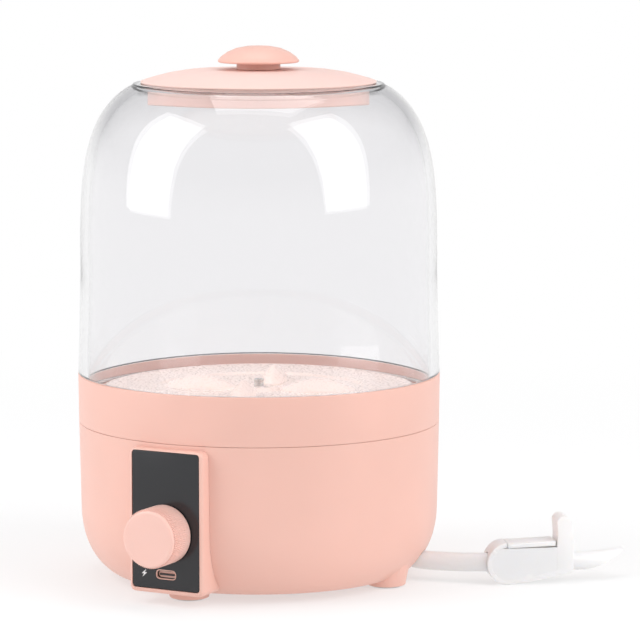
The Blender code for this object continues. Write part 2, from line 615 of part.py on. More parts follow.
def make_lid(base):
    lift = pivot("lid_axis", base)
    crown = [(12.0, 216.6), (24.0, 216.5), (31.8, 216.1), (38.5, 214.9), (44.3, 213.5), (48.6, 212.3),
             (49.9, 211.9), (49.9, TUB_RIM_Z + GAP)]
    profile = [(0, 216.6)] + crown + [(46.9, TUB_RIM_Z + GAP), (46.9, 202.6), (45.2, 202.6), (45.2, 211.6),
                                      (38.0, 213.2), (30.0, 214.2), (5.0, 214.4), (5.0, 212.6), (0, 212.6)]
    cap = turned("lid_cap", profile, "pale_pink", lift, closed=False)
    cut(cap, disc("lid_screw_hole", 1.7, 200, 230, None, lift, steps=SMALL_STEPS))
    knob = turned("lid_knob", [(0, 226.7), (6.0, 226.5), (11.0, 225.2), (15.0, 222.9), (17.2, 220.8), (17.4, 219.9),
                               (16.6, 219.7), (9.3, 219.7), (9.3, 216.9), (0, 216.9)],
                  "pale_pink", lift, steps=ROUND_STEPS, closed=False)
    cut(knob, disc("lid_knob_hole", 1.7, 215, 223, None, lift, steps=SMALL_STEPS))
    screw("lid_screw", "steel", lift, (0, 0, 212.6 - GAP), 3.2, 1.8, 1.35, 9.6)


# ---------------------------------------------------------------- drain

def make_drain(base):
    pipe = rod("drain_pipe", DRAIN_ROUTE, 4.4, "white_plastic", base, sides=3)
    first, second = Vector(DRAIN_ROUTE[0]), Vector(DRAIN_ROUTE[1])
    last, before = Vector(DRAIN_ROUTE[-1]), Vector(DRAIN_ROUTE[-2])
    bore_route = [first + (first - second) * 0.4, *DRAIN_ROUTE[1:-1], last + (last - before) * 0.4]
    cut(pipe, rod("drain_bore", bore_route, 2.9, None, base, sides=2))
    hose = rod("drain_hose", HOSE_ROUTE, HOSE_R, "milky", base, sides=3)
    end = Vector(HOSE_ROUTE[-1])
    way = end - Vector(HOSE_ROUTE[-2])
    heading = math.atan2(way.y, way.x)
    slope = math.atan2(HOSE_CUT_RISE, HOSE_CUT_LENGTH)
    middle = end + Vector((-math.cos(heading), -math.sin(heading), 0)) * HOSE_CUT_LENGTH / 2
    middle.z = end.z + HOSE_R - HOSE_TIP - HOSE_CUT_RISE / 2
    drop = Vector((math.cos(heading) * math.sin(slope), math.sin(heading) * math.sin(slope), -math.cos(slope)))
    cut(hose, block("hose_end_cut", (HOSE_CUT_LENGTH * 1.6, 20, 12), None, base, at=middle + drop * 6,
                    turn=(0, -math.degrees(slope), math.degrees(heading))))


def arc(centre, radius, start, end, count):
    angles = [math.radians(start + (end - start) * i / count) for i in range(count + 1)]
    return [(centre[0] + radius * math.cos(a), centre[1] + radius * math.sin(a)) for a in angles]


def make_clamp(base):
    frame = pivot("clamp_place", base, at=(*CLAMP_START, 0), turn=(0, 0, CLAMP_AZIMUTH))
    upright = dict(at=(0, 0, 0), turn=(90, 0, 0))
    centre = (CLAMP_LOOP_R, CLAMP_LOOP_R)
    inner = CLAMP_LOOP_R - CLAMP_STRIP
    rise = 4.6
    post_top = arc((CLAMP_POST_X + 3.2, CLAMP_POST_TOP - 3.4), 3.4, 0, 150, 6)
    outline = arc(centre, CLAMP_LOOP_R, 95, 270, 14)
    outline += [(20, 1.3), (CLAMP_LENGTH - 0.9, rise), (CLAMP_LENGTH, rise + 1.4)]
    outline += [(CLAMP_LENGTH, 18)] + post_top
    outline += [(CLAMP_POST_X + 0.5, 20), (CLAMP_POST_X, 14), (CLAMP_POST_X, rise + 1.2), (20, 1.3 + CLAMP_STRIP),
                (17.5, 4.8), (15, CLAMP_STRIP + 0.6)]
    outline += arc(centre, inner, 270, 95, 14)
    body = plate("clamp_body", [outline], -CLAMP_HALF_WIDTH, CLAMP_HALF_WIDTH, "white_plastic", frame, **upright)
    guard = arc(centre, CLAMP_LOOP_R - CLAMP_STRIP / 2, 130, 262, 8)
    guard += [(20, 2.3), (CLAMP_POST_X + 1.2, 5.4), (CLAMP_POST_X + 1.2, CLAMP_GUARD_TOP)]
    for side, (near, far) in (("left", CLAMP_GUARD_Y), ("right", [-y for y in reversed(CLAMP_GUARD_Y)])):
        join(body, plate(f"clamp_guard_{side}", [guard], near, far, None, frame, **upright))
    cut(body, rod("clamp_hose_hole", HOSE_ROUTE, HOSE_R + HOSE_CLEARANCE, None, base, sides=3))

    hinge = pivot("clamp_hinge", frame, at=(CLAMP_PIVOT[0], 0, CLAMP_PIVOT[1]))
    px, pz = CLAMP_PIVOT
    lever = arc((0, 0), 1.0, 90, 270, 6)
    lever += [(CLAMP_POST_X - 0.5 - px, -0.4), (CLAMP_POST_X - 0.5 - px, 1.6)]
    arm = plate("clamp_lever", [lever], -CLAMP_HALF_WIDTH, CLAMP_HALF_WIDTH, "white_plastic", hinge, **upright)
    ridge = [(5.5, -0.6), (7.9, -2.6), (10.3, -0.6), (7.9, 0.4)]
    join(arm, plate("lever_ridge", [ridge], -CLAMP_RIDGE_HALF_WIDTH, CLAMP_RIDGE_HALF_WIDTH, None, hinge, **upright))


# ---------------------------------------------------------------- build

PIPE_END = Vector(around(58.0, HOSE_AZIMUTH, 13.4))
PIPE_WAY = (Vector(around(64.0, HOSE_AZIMUTH, 10.9)) - PIPE_END).normalized()
DRAIN_ROUTE = smooth_route([around(50, HOSE_AZIMUTH, BASIN_FLOOR_Z - BASIN_FLOOR_WALL - GAP),
                            around(50, HOSE_AZIMUTH, 50), around(50, HOSE_AZIMUTH, 26),
                            around(51.3, HOSE_AZIMUTH, 19), PIPE_END - PIPE_WAY * 3, PIPE_END], 6)
HOSE_ROUTE = smooth_route([PIPE_END + PIPE_WAY * 0.4, PIPE_END + PIPE_WAY * 4, around(69.6, HOSE_AZIMUTH, 9.0),
                           (82.5, 20.3, 8.6), (96.2, 24.6, 8.9), (111.0, 34.2, 8.8), (126.0, 45.4, 8.6),
                           (134.2, 54.6, 8.2), (139.7, 67.5, 8.0)], 8)
GEARBOX_SCREWS = [(26.0, -7.0, 0), (-26.0, -7.0, 0), (0.0, MOTOR_Y + 19.0, 0)]

clear_scene()
PARTS = collection("mini_washing_machine")
CUTTERS = collection("cutters")
machine = pivot("machine", None, at=(0, AXIS_Y, 0))
make_lower_housing(machine)
make_bottom_cover(machine)
make_feet(machine)
make_upper_ring(machine)
make_basin(machine)
make_tub(machine)
make_panel(machine)
make_electronics(machine)
make_knob(machine)
make_gearbox(machine)
make_motor(machine)
make_drive(machine)
make_lid(machine)
make_drain(machine)
make_clamp(machine)
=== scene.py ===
# %% [markdown]
# # A mini tabletop washing machine
# The machine is a clear domed tub on a pink base, with a finned disc inside that stirs the wash, a knob panel
# in front and a drain hose at the side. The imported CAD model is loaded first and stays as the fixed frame.
# Each visible piece is then made again as fine geometry in the same place, and every hidden piece keeps its
# CAD shape and gets a proper material.

# %% Load the frame
import json
import math

import bmesh
import bpy
from mathutils import Matrix, Vector


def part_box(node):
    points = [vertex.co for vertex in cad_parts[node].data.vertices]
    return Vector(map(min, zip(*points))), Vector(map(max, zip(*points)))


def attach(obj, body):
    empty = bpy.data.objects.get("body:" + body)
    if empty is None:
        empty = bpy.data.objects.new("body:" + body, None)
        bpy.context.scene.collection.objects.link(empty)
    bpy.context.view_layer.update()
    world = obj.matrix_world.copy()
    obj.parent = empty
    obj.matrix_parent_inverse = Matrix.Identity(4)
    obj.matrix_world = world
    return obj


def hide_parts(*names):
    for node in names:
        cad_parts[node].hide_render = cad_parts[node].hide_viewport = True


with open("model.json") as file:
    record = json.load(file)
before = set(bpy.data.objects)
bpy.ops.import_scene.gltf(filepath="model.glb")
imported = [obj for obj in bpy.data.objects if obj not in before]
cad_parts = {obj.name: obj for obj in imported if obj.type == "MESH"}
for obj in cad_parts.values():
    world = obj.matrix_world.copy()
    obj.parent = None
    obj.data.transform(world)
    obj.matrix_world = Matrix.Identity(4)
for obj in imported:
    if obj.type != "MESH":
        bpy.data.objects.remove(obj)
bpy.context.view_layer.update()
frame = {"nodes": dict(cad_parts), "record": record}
nodes = frame["nodes"]
MM = 0.001

# %% [markdown]
# ## Places and sizes
# Everything round is turned about the tub's axis, so the axis is the first thing to find: it runs through the
# middle of the clear tub. Sizes here are in millimetres from that axis and from the table, and they are read
# from the frame wherever a CAD piece already holds them.

# %% Named sizes
tub_low, tub_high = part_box("clear_tub")
AXIS = Vector(((tub_low.x + tub_high.x) / 2, (tub_low.y + tub_high.y) / 2, 0))


def top_of(node):
    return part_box(node)[1].z / MM


def bottom_of(node):
    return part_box(node)[0].z / MM


def reach_of(node):
    low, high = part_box(node)
    return (high.x - low.x) / 2 / MM


RIM_Z = top_of("clear_tub")
RING_TOP_Z = top_of("upper_ring")
RING_R = reach_of("upper_ring")
SEAM_Z = top_of("lower_housing") + 0.3
HOUSING_R = reach_of("lower_housing")
SPIGOT_Z = bottom_of("clear_tub")
BASIN_TOP_Z = top_of("basin")
PULSATOR_RIM_Z = 85.0
TURN_STEPS = 192
MERGE_DISTANCE = 5e-6
print("axis at y = %.1f mm, rim at %.1f, seam at %.1f" % (AXIS.y / MM, RIM_Z, SEAM_Z))

# %% [markdown]
# ## The camera
# A long lens from well back keeps the machine's sides nearly parallel. The camera stands a little to the right
# of the panel and looks slightly down, and turns one degree off the axis so that the hose has room on the right.

# %% Camera
CAMERA_LENS = 198.0
CAMERA_SENSOR = 36.0
CAMERA_AZIMUTH = 28.65
CAMERA_DISTANCE = 1.4919
CAMERA_HEIGHT = 0.3051
CAMERA_PITCH = 7.469
CAMERA_YAW = 1.0


def add_to_scene(name, data):
    made = bpy.data.objects.new(name, data)
    bpy.context.scene.collection.objects.link(made)
    return made


around_camera = math.radians(CAMERA_AZIMUTH)
camera_data = bpy.data.cameras.new("product_camera")
camera_data.lens = CAMERA_LENS
camera_data.sensor_width = CAMERA_SENSOR
camera = add_to_scene("product_camera", camera_data)
camera.location = AXIS + Vector((CAMERA_DISTANCE * math.sin(around_camera),
                                 -CAMERA_DISTANCE * math.cos(around_camera), CAMERA_HEIGHT))
camera.rotation_euler = (math.radians(90 - CAMERA_PITCH), 0, math.radians(CAMERA_AZIMUTH - CAMERA_YAW))
bpy.context.scene.camera = camera
print("camera at", tuple(round(c, 3) for c in camera.location))

# %% [markdown]
# ## Mesh helpers
# A turned piece is a profile of radius and height, spun round the axis. Its corners are given with a radius
# each, because moulded plastic has no knife edges and the small rounds are what catch the light.

# %% Profiles and turning
ON_AXIS = Matrix.Translation(AXIS)
AS_DRAWN = Matrix.Identity(4)
SHARP_ANGLE = 40.0
CARVED_SHARP_ANGLE = 35.0


def arc_points(centre, radius, start, end, count):
    turns = [math.radians(start + (end - start) * i / count) for i in range(count + 1)]
    return [(centre[0] + radius * math.cos(a), centre[1] + radius * math.sin(a)) for a in turns]


def soften(corners, closed=True, count=5):
    """Round the corners of an outline given as (x, y, radius)."""
    points = []
    total = len(corners)
    for i, (x, y, radius) in enumerate(corners):
        here = Vector((x, y))
        if radius <= 0 or (not closed and i in (0, total - 1)):
            points.append((x, y))
            continue
        before = Vector(corners[i - 1][:2]) - here
        after = Vector(corners[(i + 1) % total][:2]) - here
        half = before.angle(after) / 2
        reach = min(radius / math.tan(half), before.length * 0.49, after.length * 0.49)
        first = here + before.normalized() * reach
        last = here + after.normalized() * reach
        for step in range(count + 1):
            t = step / count
            bend = first * (1 - t) ** 2 + here * 2 * t * (1 - t) + last * t ** 2
            points.append(tuple(bend))
    return points


def plain(points):
    """Give points with no radius of their own a radius of nought."""
    return [(x, y, 0) for x, y in points]


def superellipse(centre, reach, power, angles):
    return [(centre[0] + reach[0] * math.cos(math.radians(a)) ** (2 / power),
             centre[1] + reach[1] * math.sin(math.radians(a)) ** (2 / power)) for a in angles]


def even_angles(start, end, count):
    return [start + (end - start) * i / count for i in range(count + 1)]


def smooth(mesh, sharp):
    """Shade a mesh smooth, apart from edges that turn by more than an angle in degrees."""
    mesh.shade_smooth()
    mesh.set_sharp_from_angle(angle=math.radians(sharp))


def finish_mesh(shape, name, place=ON_AXIS, sharp=SHARP_ANGLE):
    """Close a bmesh up, point its faces outwards and make it an object whose place is in its mesh."""
    bmesh.ops.remove_doubles(shape, verts=shape.verts, dist=MERGE_DISTANCE)
    bmesh.ops.recalc_face_normals(shape, faces=shape.faces)
    mesh = bpy.data.meshes.new(name)
    shape.to_mesh(mesh)
    shape.free()
    mesh.transform(place)
    smooth(mesh, sharp)
    return add_to_scene(name, mesh)


def turn_profile(name, profile, closed=True, steps=TURN_STEPS, place=ON_AXIS, sharp=SHARP_ANGLE):
    """Spin a profile of (radius, z) in millimetres about Z."""
    shape = bmesh.new()
    line = [shape.verts.new((radius * MM, 0, z * MM)) for radius, z in profile]
    edges = [shape.edges.new(pair) for pair in zip(line, line[1:])]
    if closed:
        edges.append(shape.edges.new((line[-1], line[0])))
    bmesh.ops.spin(shape, geom=line + edges, axis=(0, 0, 1), cent=(0, 0, 0), dvec=(0, 0, 0),
                   angle=2 * math.pi, steps=steps)
    return finish_mesh(shape, name, place, sharp)


def extrude_outline(name, outline, low, high, place, bevel=0.0, sharp=SHARP_ANGLE):
    """A flat outline in millimetres, given a thickness along its own Z and rounded edges."""
    shape = bmesh.new()
    base = [shape.verts.new((x * MM, y * MM, low * MM)) for x, y in outline]
    face = shape.faces.new(base)
    grown = bmesh.ops.extrude_face_region(shape, geom=[face])
    lifted = [item for item in grown["geom"] if isinstance(item, bmesh.types.BMVert)]
    bmesh.ops.translate(shape, verts=lifted, vec=(0, 0, (high - low) * MM))
    if bevel:
        rims = [edge for edge in shape.edges if edge.is_manifold and edge.calc_face_angle(0) > math.radians(50)
                and abs(edge.verts[0].co.z - edge.verts[1].co.z) < 1e-9]
        bmesh.ops.bevel(shape, geom=rims, offset=bevel * MM, segments=3, affect="EDGES", profile=0.5)
    return finish_mesh(shape, name, place, sharp)


def carve(target, cutters, operation="DIFFERENCE"):
    """Cut or join other meshes, then keep the result as the target's own mesh."""
    for cutter in cutters:
        change = target.modifiers.new("carve", "BOOLEAN")
        change.operation = operation
        change.object = cutter
        change.solver = "EXACT"
    graph = bpy.context.evaluated_depsgraph_get()
    result = bpy.data.meshes.new_from_object(target.evaluated_get(graph))
    target.modifiers.clear()
    target.data = result
    for cutter in cutters:
        bpy.data.objects.remove(cutter)
    smooth(result, CARVED_SHARP_ANGLE)


def show(piece, look, body, *replaced, slot=None):
    """Give a piece its material, let it ride its body and hide the CAD nodes that it stands for."""
    piece.data.materials.clear()
    piece.data.materials.append(look)
    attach(piece, body)
    if replaced:
        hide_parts(*replaced)
    print("  %-20s %6d faces" % (piece.name, len(piece.data.polygons)))


# %% [markdown]
# ## Materials
# Most of the machine is injection-moulded plastic: satin, with a very fine grain from the mould and a colour
# that is even but never dead flat. One builder makes that family. Each finish sets its constant values straight
# on the shader, and only the grain and the slow changes of colour come from noise on object coordinates.

# %% Material builders


def new_material(name):
    made = bpy.data.materials.new(name)
    made.use_nodes = True
    tree = made.node_tree
    return made, tree, tree.nodes["Principled BSDF"]


def noise(tree, scale, detail=3.0, roughness=0.5, stretch=(1, 1, 1)):
    coordinates = tree.nodes.new("ShaderNodeTexCoord")
    mapping = tree.nodes.new("ShaderNodeMapping")
    mapping.inputs["Scale"].default_value = stretch
    texture = tree.nodes.new("ShaderNodeTexNoise")
    texture.inputs["Scale"].default_value = scale
    texture.inputs["Detail"].default_value = detail
    texture.inputs["Roughness"].default_value = roughness
    tree.links.new(coordinates.outputs["Object"], mapping.inputs["Vector"])
    tree.links.new(mapping.outputs["Vector"], texture.inputs["Vector"])
    return texture.outputs["Fac"]


def spread(tree, value, low, high):
    """Remap a noise value, which keeps near 0.5, to a range."""
    remap = tree.nodes.new("ShaderNodeMapRange")
    remap.inputs["From Min"].default_value = 0.3
    remap.inputs["From Max"].default_value = 0.7
    remap.inputs["To Min"].default_value = low
    remap.inputs["To Max"].default_value = high
    tree.links.new(value, remap.inputs["Value"])
    return remap.outputs["Result"]


def colour_between(tree, value, first, second):
    ramp = tree.nodes.new("ShaderNodeValToRGB")
    ramp.color_ramp.elements[0].position = 0.3
    ramp.color_ramp.elements[1].position = 0.7
    ramp.color_ramp.elements[0].color = (*first, 1)
    ramp.color_ramp.elements[1].color = (*second, 1)
    tree.links.new(value, ramp.inputs["Fac"])
    return ramp.outputs["Color"]


def grain(tree, shader, value, depth, strength=1.0):
    bump = tree.nodes.new("ShaderNodeBump")
    bump.inputs["Distance"].default_value = depth
    bump.inputs["Strength"].default_value = strength
    tree.links.new(value, bump.inputs["Height"])
    tree.links.new(bump.outputs["Normal"], shader.inputs["Normal"])


def shade(colour, amount):
    return tuple(min(1.0, part * amount) for part in colour)


def moulded(name, colour, roughness=0.42, grain_size=2600.0, grain_depth=0.00003, vary=0.03, soft=0.0):
    made, tree, shader = new_material(name)
    slow = noise(tree, 22.0, 2.0)
    shades = colour_between(tree, slow, shade(colour, 1 - vary), shade(colour, 1 + vary))
    tree.links.new(shades, shader.inputs["Base Color"])
    fine = noise(tree, grain_size, 2.0)
    tree.links.new(spread(tree, fine, roughness - 0.04, roughness + 0.05), shader.inputs["Roughness"])
    grain(tree, shader, fine, grain_depth)
    shader.inputs["IOR"].default_value = 1.5
    if soft:
        shader.inputs["Subsurface Weight"].default_value = soft
        shader.inputs["Subsurface Radius"].default_value = (0.004, 0.0025, 0.002)
        shader.inputs["Subsurface Scale"].default_value = 0.5
    return made


def see_through(name, colour, roughness, clear, ior=1.49, ripple=0.0, ripple_size=14.0):
    made, tree, shader = new_material(name)
    shader.inputs["Base Color"].default_value = (*colour, 1)
    shader.inputs["Transmission Weight"].default_value = clear
    shader.inputs["IOR"].default_value = ior
    haze = noise(tree, 60.0, 3.0)
    tree.links.new(spread(tree, haze, roughness * 0.7, roughness * 1.3), shader.inputs["Roughness"])
    if ripple:
        grain(tree, shader, noise(tree, ripple_size, 1.0), ripple)
    return made


def cloudy(name, colour, roughness, clear):
    """Milky plastic: mostly scattered light, a little straight through."""
    made, tree, shader = new_material(name)
    clouds = noise(tree, 45.0, 3.0)
    tree.links.new(colour_between(tree, clouds, shade(colour, 0.985), shade(colour, 1.02)),
                   shader.inputs["Base Color"])
    tree.links.new(spread(tree, noise(tree, 900.0, 2.0), roughness - 0.04, roughness + 0.06),
                   shader.inputs["Roughness"])
    shader.inputs["Transmission Weight"].default_value = clear
    shader.inputs["IOR"].default_value = 1.47
    shader.inputs["Subsurface Weight"].default_value = 0.45
    shader.inputs["Subsurface Radius"].default_value = (0.004, 0.0035, 0.003)
    shader.inputs["Subsurface Scale"].default_value = 0.6
    grain(tree, shader, noise(tree, 700.0, 2.0), 0.00002)
    return made


def metal(name, colour, roughness, streak=(1, 1, 1)):
    made, tree, shader = new_material(name)
    shader.inputs["Base Color"].default_value = (*colour, 1)
    shader.inputs["Metallic"].default_value = 1.0
    brushed = noise(tree, 900.0, 4.0, stretch=streak)
    tree.links.new(spread(tree, brushed, roughness * 0.7, roughness * 1.4), shader.inputs["Roughness"])
    grain(tree, shader, brushed, 0.00001)
    return made


# %% The machine's finishes
PINK = (0.79, 0.475, 0.40)
pink = moulded("satin_pink", PINK, roughness=0.40, soft=0.10)
lid_pink = moulded("satin_lid_pink", (0.85, 0.60, 0.54), roughness=0.42, soft=0.10)
knob_pink = moulded("satin_knob_pink", (0.84, 0.53, 0.46), roughness=0.45, soft=0.10)
clear = see_through("clear_tub_plastic", (0.928, 0.924, 0.933), 0.015, 1.0, ripple=0.00008)
milky = cloudy("milky_pulsator", (0.87, 0.725, 0.67), 0.28, clear=0.0)
hose_look = cloudy("milky_hose", (1.0, 0.965, 0.95), 0.34, clear=0.2)
clamp_look = cloudy("natural_clamp_plastic", (0.97, 0.955, 0.95), 0.36, clear=0.18)
seal_look = cloudy("clear_seal_silicone", (0.95, 0.88, 0.86), 0.30, clear=0.5)
window_black = moulded("window_black", (0.016, 0.0165, 0.019), roughness=0.14, grain_depth=0.000004, vary=0.1)
black = moulded("matt_black", (0.02, 0.02, 0.021), roughness=0.55)
rubber = moulded("grey_foot_rubber", (0.55, 0.54, 0.53), roughness=0.7, grain_size=1500.0, grain_depth=0.00006)
white_plastic = moulded("natural_white", (0.75, 0.74, 0.71), roughness=0.4)
print_white = moulded("printed_mark", (0.72, 0.72, 0.72), roughness=0.5)
board_green = moulded("solder_mask", (0.02, 0.14, 0.055), roughness=0.3, vary=0.15)
red_wire = moulded("red_insulation", (0.45, 0.02, 0.02), roughness=0.45)
black_wire = moulded("black_insulation", (0.02, 0.02, 0.02), roughness=0.45)
steel = metal("plain_steel", (0.62, 0.61, 0.60), 0.28)
dark_steel = metal("blackened_nickel", (0.05, 0.048, 0.046), 0.4)
brass = metal("brass", (0.72, 0.52, 0.25), 0.3)
print("materials made:", len(bpy.data.materials))

# %% [markdown]
# ## The drain hose
# The hose is a soft translucent tube, eight millimetres thick. It leaves low on the right side, runs straight
# through the clamp and curls a little way back. It is made as a real tube with a bore, swept along a smooth
# curve through a few chosen points, so that its cut end shows a wall.

# %% Hose route and tube
HOSE_R = 4.0
HOSE_BORE_R = 2.6
HOSE_HOLE_GAP = 0.4
HOSE_AZIMUTH = 104.0
CUT_LENGTH = 24.0
CUT_RISE = 7.8
CUT_TIP = 0.7


def around(radius, azimuth, z=0.0):
    angle = math.radians(azimuth)
    return Vector((radius * math.sin(angle), -radius * math.cos(angle), z))


def smooth_route(knots, spacing):
    knots = [Vector(knot) for knot in knots]
    ends = [2 * knots[0] - knots[1], *knots, 2 * knots[-1] - knots[-2]]
    route = [knots[0]]
    for a, b, c, d in zip(ends, ends[1:], ends[2:], ends[3:]):
        count = max(1, round((c - b).length / spacing))
        for step in range(1, count + 1):
            t = step / count
            route.append(0.5 * (2 * b + (c - a) * t + (2 * a - 5 * b + 4 * c - d) * t ** 2
                                + (3 * b - a - 3 * c + d) * t ** 3))
    return route


PIPE_END = around(58.0, HOSE_AZIMUTH, 13.4)
PIPE_WAY = (around(64.0, HOSE_AZIMUTH, 10.9) - PIPE_END).normalized()
HOSE_KNOTS = [PIPE_END + PIPE_WAY * 0.4, PIPE_END + PIPE_WAY * 4, around(69.6, HOSE_AZIMUTH, 9.0),
              (82.5, 20.3, 8.6), (96.2, 24.6, 8.9), (111.0, 34.2, 8.8), (126.0, 45.4, 8.6),
              (134.2, 54.6, 8.2), (139.7, 67.5, 8.0)]
hose_route = [AXIS + point * MM for point in smooth_route(HOSE_KNOTS, 3.5)]


def sweep_tube(name, route, rings, sides=32):
    """One ring for each radius, swept along a route. Two radii make a hollow tube with flat ends."""
    shape = bmesh.new()
    loops = {radius: [] for radius in rings}
    for i, point in enumerate(route):
        way = (route[min(i + 1, len(route) - 1)] - route[max(i - 1, 0)]).normalized()
        side = way.cross(Vector((0, 0, 1))).normalized()
        lift = side.cross(way)
        for radius in rings:
            turns = [2 * math.pi * k / sides for k in range(sides)]
            loops[radius].append([shape.verts.new(point + (side * math.cos(a) + lift * math.sin(a)) * radius * MM)
                                  for a in turns])
    for radius in rings:
        for first, second in zip(loops[radius], loops[radius][1:]):
            for k in range(sides):
                shape.faces.new((first[k], first[k - 1], second[k - 1], second[k]))
    outer, inner = loops[rings[0]], loops[rings[-1]]
    for end in (0, -1):
        if len(rings) == 1:
            shape.faces.new(outer[end])
            continue
        for k in range(sides):
            shape.faces.new((outer[end][k], outer[end][k - 1], inner[end][k - 1], inner[end][k]))
    return finish_mesh(shape, name, AS_DRAWN)


hose = sweep_tube("hose_tube", hose_route, (HOSE_R, HOSE_BORE_R))
hose_end = (hose_route[-1] - AXIS) / MM
heading = math.atan2(*(hose_route[-1] - hose_route[-2]).yx)
slope = math.atan2(CUT_RISE, CUT_LENGTH)
cut_middle = hose_end - Vector((math.cos(heading), math.sin(heading), 0)) * CUT_LENGTH / 2
cut_middle.z = hose_end.z + HOSE_R - CUT_TIP - CUT_RISE / 2
cut_place = (Matrix.Translation(AXIS + cut_middle * MM) @ Matrix.Rotation(heading, 4, "Z")
             @ Matrix.Rotation(-slope, 4, "Y"))
end_cutter = extrude_outline("hose_end_cutter", [(-20, -10), (20, -10), (20, 10), (-20, 10)], -12, 0, cut_place)
carve(hose, [end_cutter])
show(hose, hose_look, "base", "drain_hose", slot="milky_plastic")

# %% [markdown]
# ## The lower housing and the ring
# The base is two shells: a bowl that curves in under the machine and a plain ring above it, with a fine open
# seam between them. Their profiles are one superellipse and a few straight lines, so both are simply turned.
# Four bosses for the feet grow out of the bowl. Each flares where it meets the curve, as a moulded fillet does.

# %% Lower housing
FOOT_RADIUS = 61.0
PAD_R = reach_of("foot_pad_1")
BOSS_R = PAD_R + 1.4
BOWL_CENTRE = (47.4, 32.9)
BOWL_REACH = (29.0, 33.6)
BOWL_POWER = 2.4
HOUSING_WALL = 2.4
HOUSING_FLOOR_Z = 3.0


def bowl_profile(inset, floor):
    """Side of the bowl from the seam down to its flat floor, a wall's thickness in if inset."""
    reach = (BOWL_REACH[0] - inset, -(BOWL_REACH[1] - inset))
    curve = superellipse(BOWL_CENTRE, reach, BOWL_POWER, even_angles(2, 68, 34))
    return [(radius, z) for radius, z in curve if z > floor + 0.15]


outer_side = bowl_profile(0, HOUSING_FLOOR_Z)
inner_side = bowl_profile(HOUSING_WALL, HOUSING_FLOOR_Z + HOUSING_WALL)
housing_profile = soften([(HOUSING_R, SEAM_Z - 0.13, 0.22)] + plain(outer_side)
                         + [(59.0, HOUSING_FLOOR_Z, 0), (50.2, HOUSING_FLOOR_Z, 0.3), (50.2, 5.6, 0),
                            (43.0, 5.6, 0), (43.0, 9.4, 0), (53.0, 9.4, 0), (53.0, 5.4, 0)]
                         + plain(reversed(inner_side)) + [(HOUSING_R - HOUSING_WALL, SEAM_Z - 0.13, 0.2)])
housing = turn_profile("housing_shell", housing_profile)
bosses = []
for number in range(4):
    spot = Matrix.Translation(AXIS + around(FOOT_RADIUS, 90 * number) * MM)
    flare = soften([(0, 16.0, 0), (9.9, 16.0, 0), (9.9, 9.0, 0), (8.8, 4.0, 3.0), (BOSS_R, 0.6, 0.8),
                    (PAD_R + 0.3, 0.6, 0), (PAD_R + 0.3, 2.2, 0), (0, 2.2, 0)], closed=False)
    bosses.append(turn_profile(f"boss_{number}", flare, closed=False, steps=64, place=spot))
carve(housing, bosses, "UNION")
inside = turn_profile("housing_inside", [(0, 60), (HOUSING_R - HOUSING_WALL, 60)] + inner_side
                      + [(53.2, 5.4), (53.2, 9.6), (0, 9.6)], closed=False)
panel_gap_place = Matrix.Translation(AXIS + Vector((0, -72.5, 35.25)) * MM)
panel_gap = extrude_outline("panel_gap", [(-14, -26.75), (14, -26.75), (14, 26.75), (-14, 26.75)], -17.5, 17.5,
                            panel_gap_place @ Matrix.Rotation(math.pi / 2, 4, "X"))
hose_hole = sweep_tube("hose_hole", hose_route[:12], (HOSE_R + HOSE_HOLE_GAP,))
for cutter in (inside, panel_gap, hose_hole):
    carve(housing, [cutter])
show(housing, pink, "base", "lower_housing", slot="pink_plastic")

# %% Upper ring
ring_profile = soften([(RING_R, RING_TOP_Z, 0.4), (HOUSING_R, SEAM_Z, 0.22), (74.35, SEAM_Z, 0), (74.35, 62.5, 0.4),
                       (72.55, 62.5, 0.4), (72.55, 67.4, 0), (65.5, 67.4, 0), (65.5, 69.8, 0), (75.0, 69.8, 0.6),
                       (75.0, RING_TOP_Z, 0.3)])
ring = turn_profile("ring_shell", ring_profile)
show(ring, pink, "base", "upper_ring", slot="pink_plastic")

# %% [markdown]
# ## Basin, seal and tub
# The basin is the pink pan that the tub stands in, and a thin ring of clear silicone seals the two. The tub is one clear
# shell with a broad shoulder. Its outline is a superellipse again: it bends slowly down the side and quickly at
# the shoulder, which one circle can't do. The wall is thick enough to show as a band along the outline.

# %% Basin and seal
basin_profile = soften([(74.7, BASIN_TOP_Z, 0.4), (74.7, 70.1, 0.3), (64.0, 70.1, 0), (62.5, 71.8, 0),
                        (9.0, 71.8, 0), (7.5, 66.0, 0.4), (3.35, 66.0, 0), (3.35, 70.2, 0), (5.8, 70.2, 0),
                        (5.8, 76.0, 0.3), (8.0, 76.0, 0.4), (9.0, 74.0, 0.6), (66.0, 74.0, 4.0),
                        (72.4, 75.6, 3.0), (72.4, BASIN_TOP_Z, 0.4)])
basin = turn_profile("basin_pan", basin_profile)
show(basin, pink, "base", "basin", slot="pink_plastic")
seal_profile = soften([(74.5, 83.9, 0.4), (74.5, 82.9, 0.4), (72.7, 82.9, 0.4), (72.7, 83.9, 0.4)])
seal = turn_profile("seal_ring", seal_profile)
show(seal, seal_look, "base", "tub_seal", slot="milky_plastic")

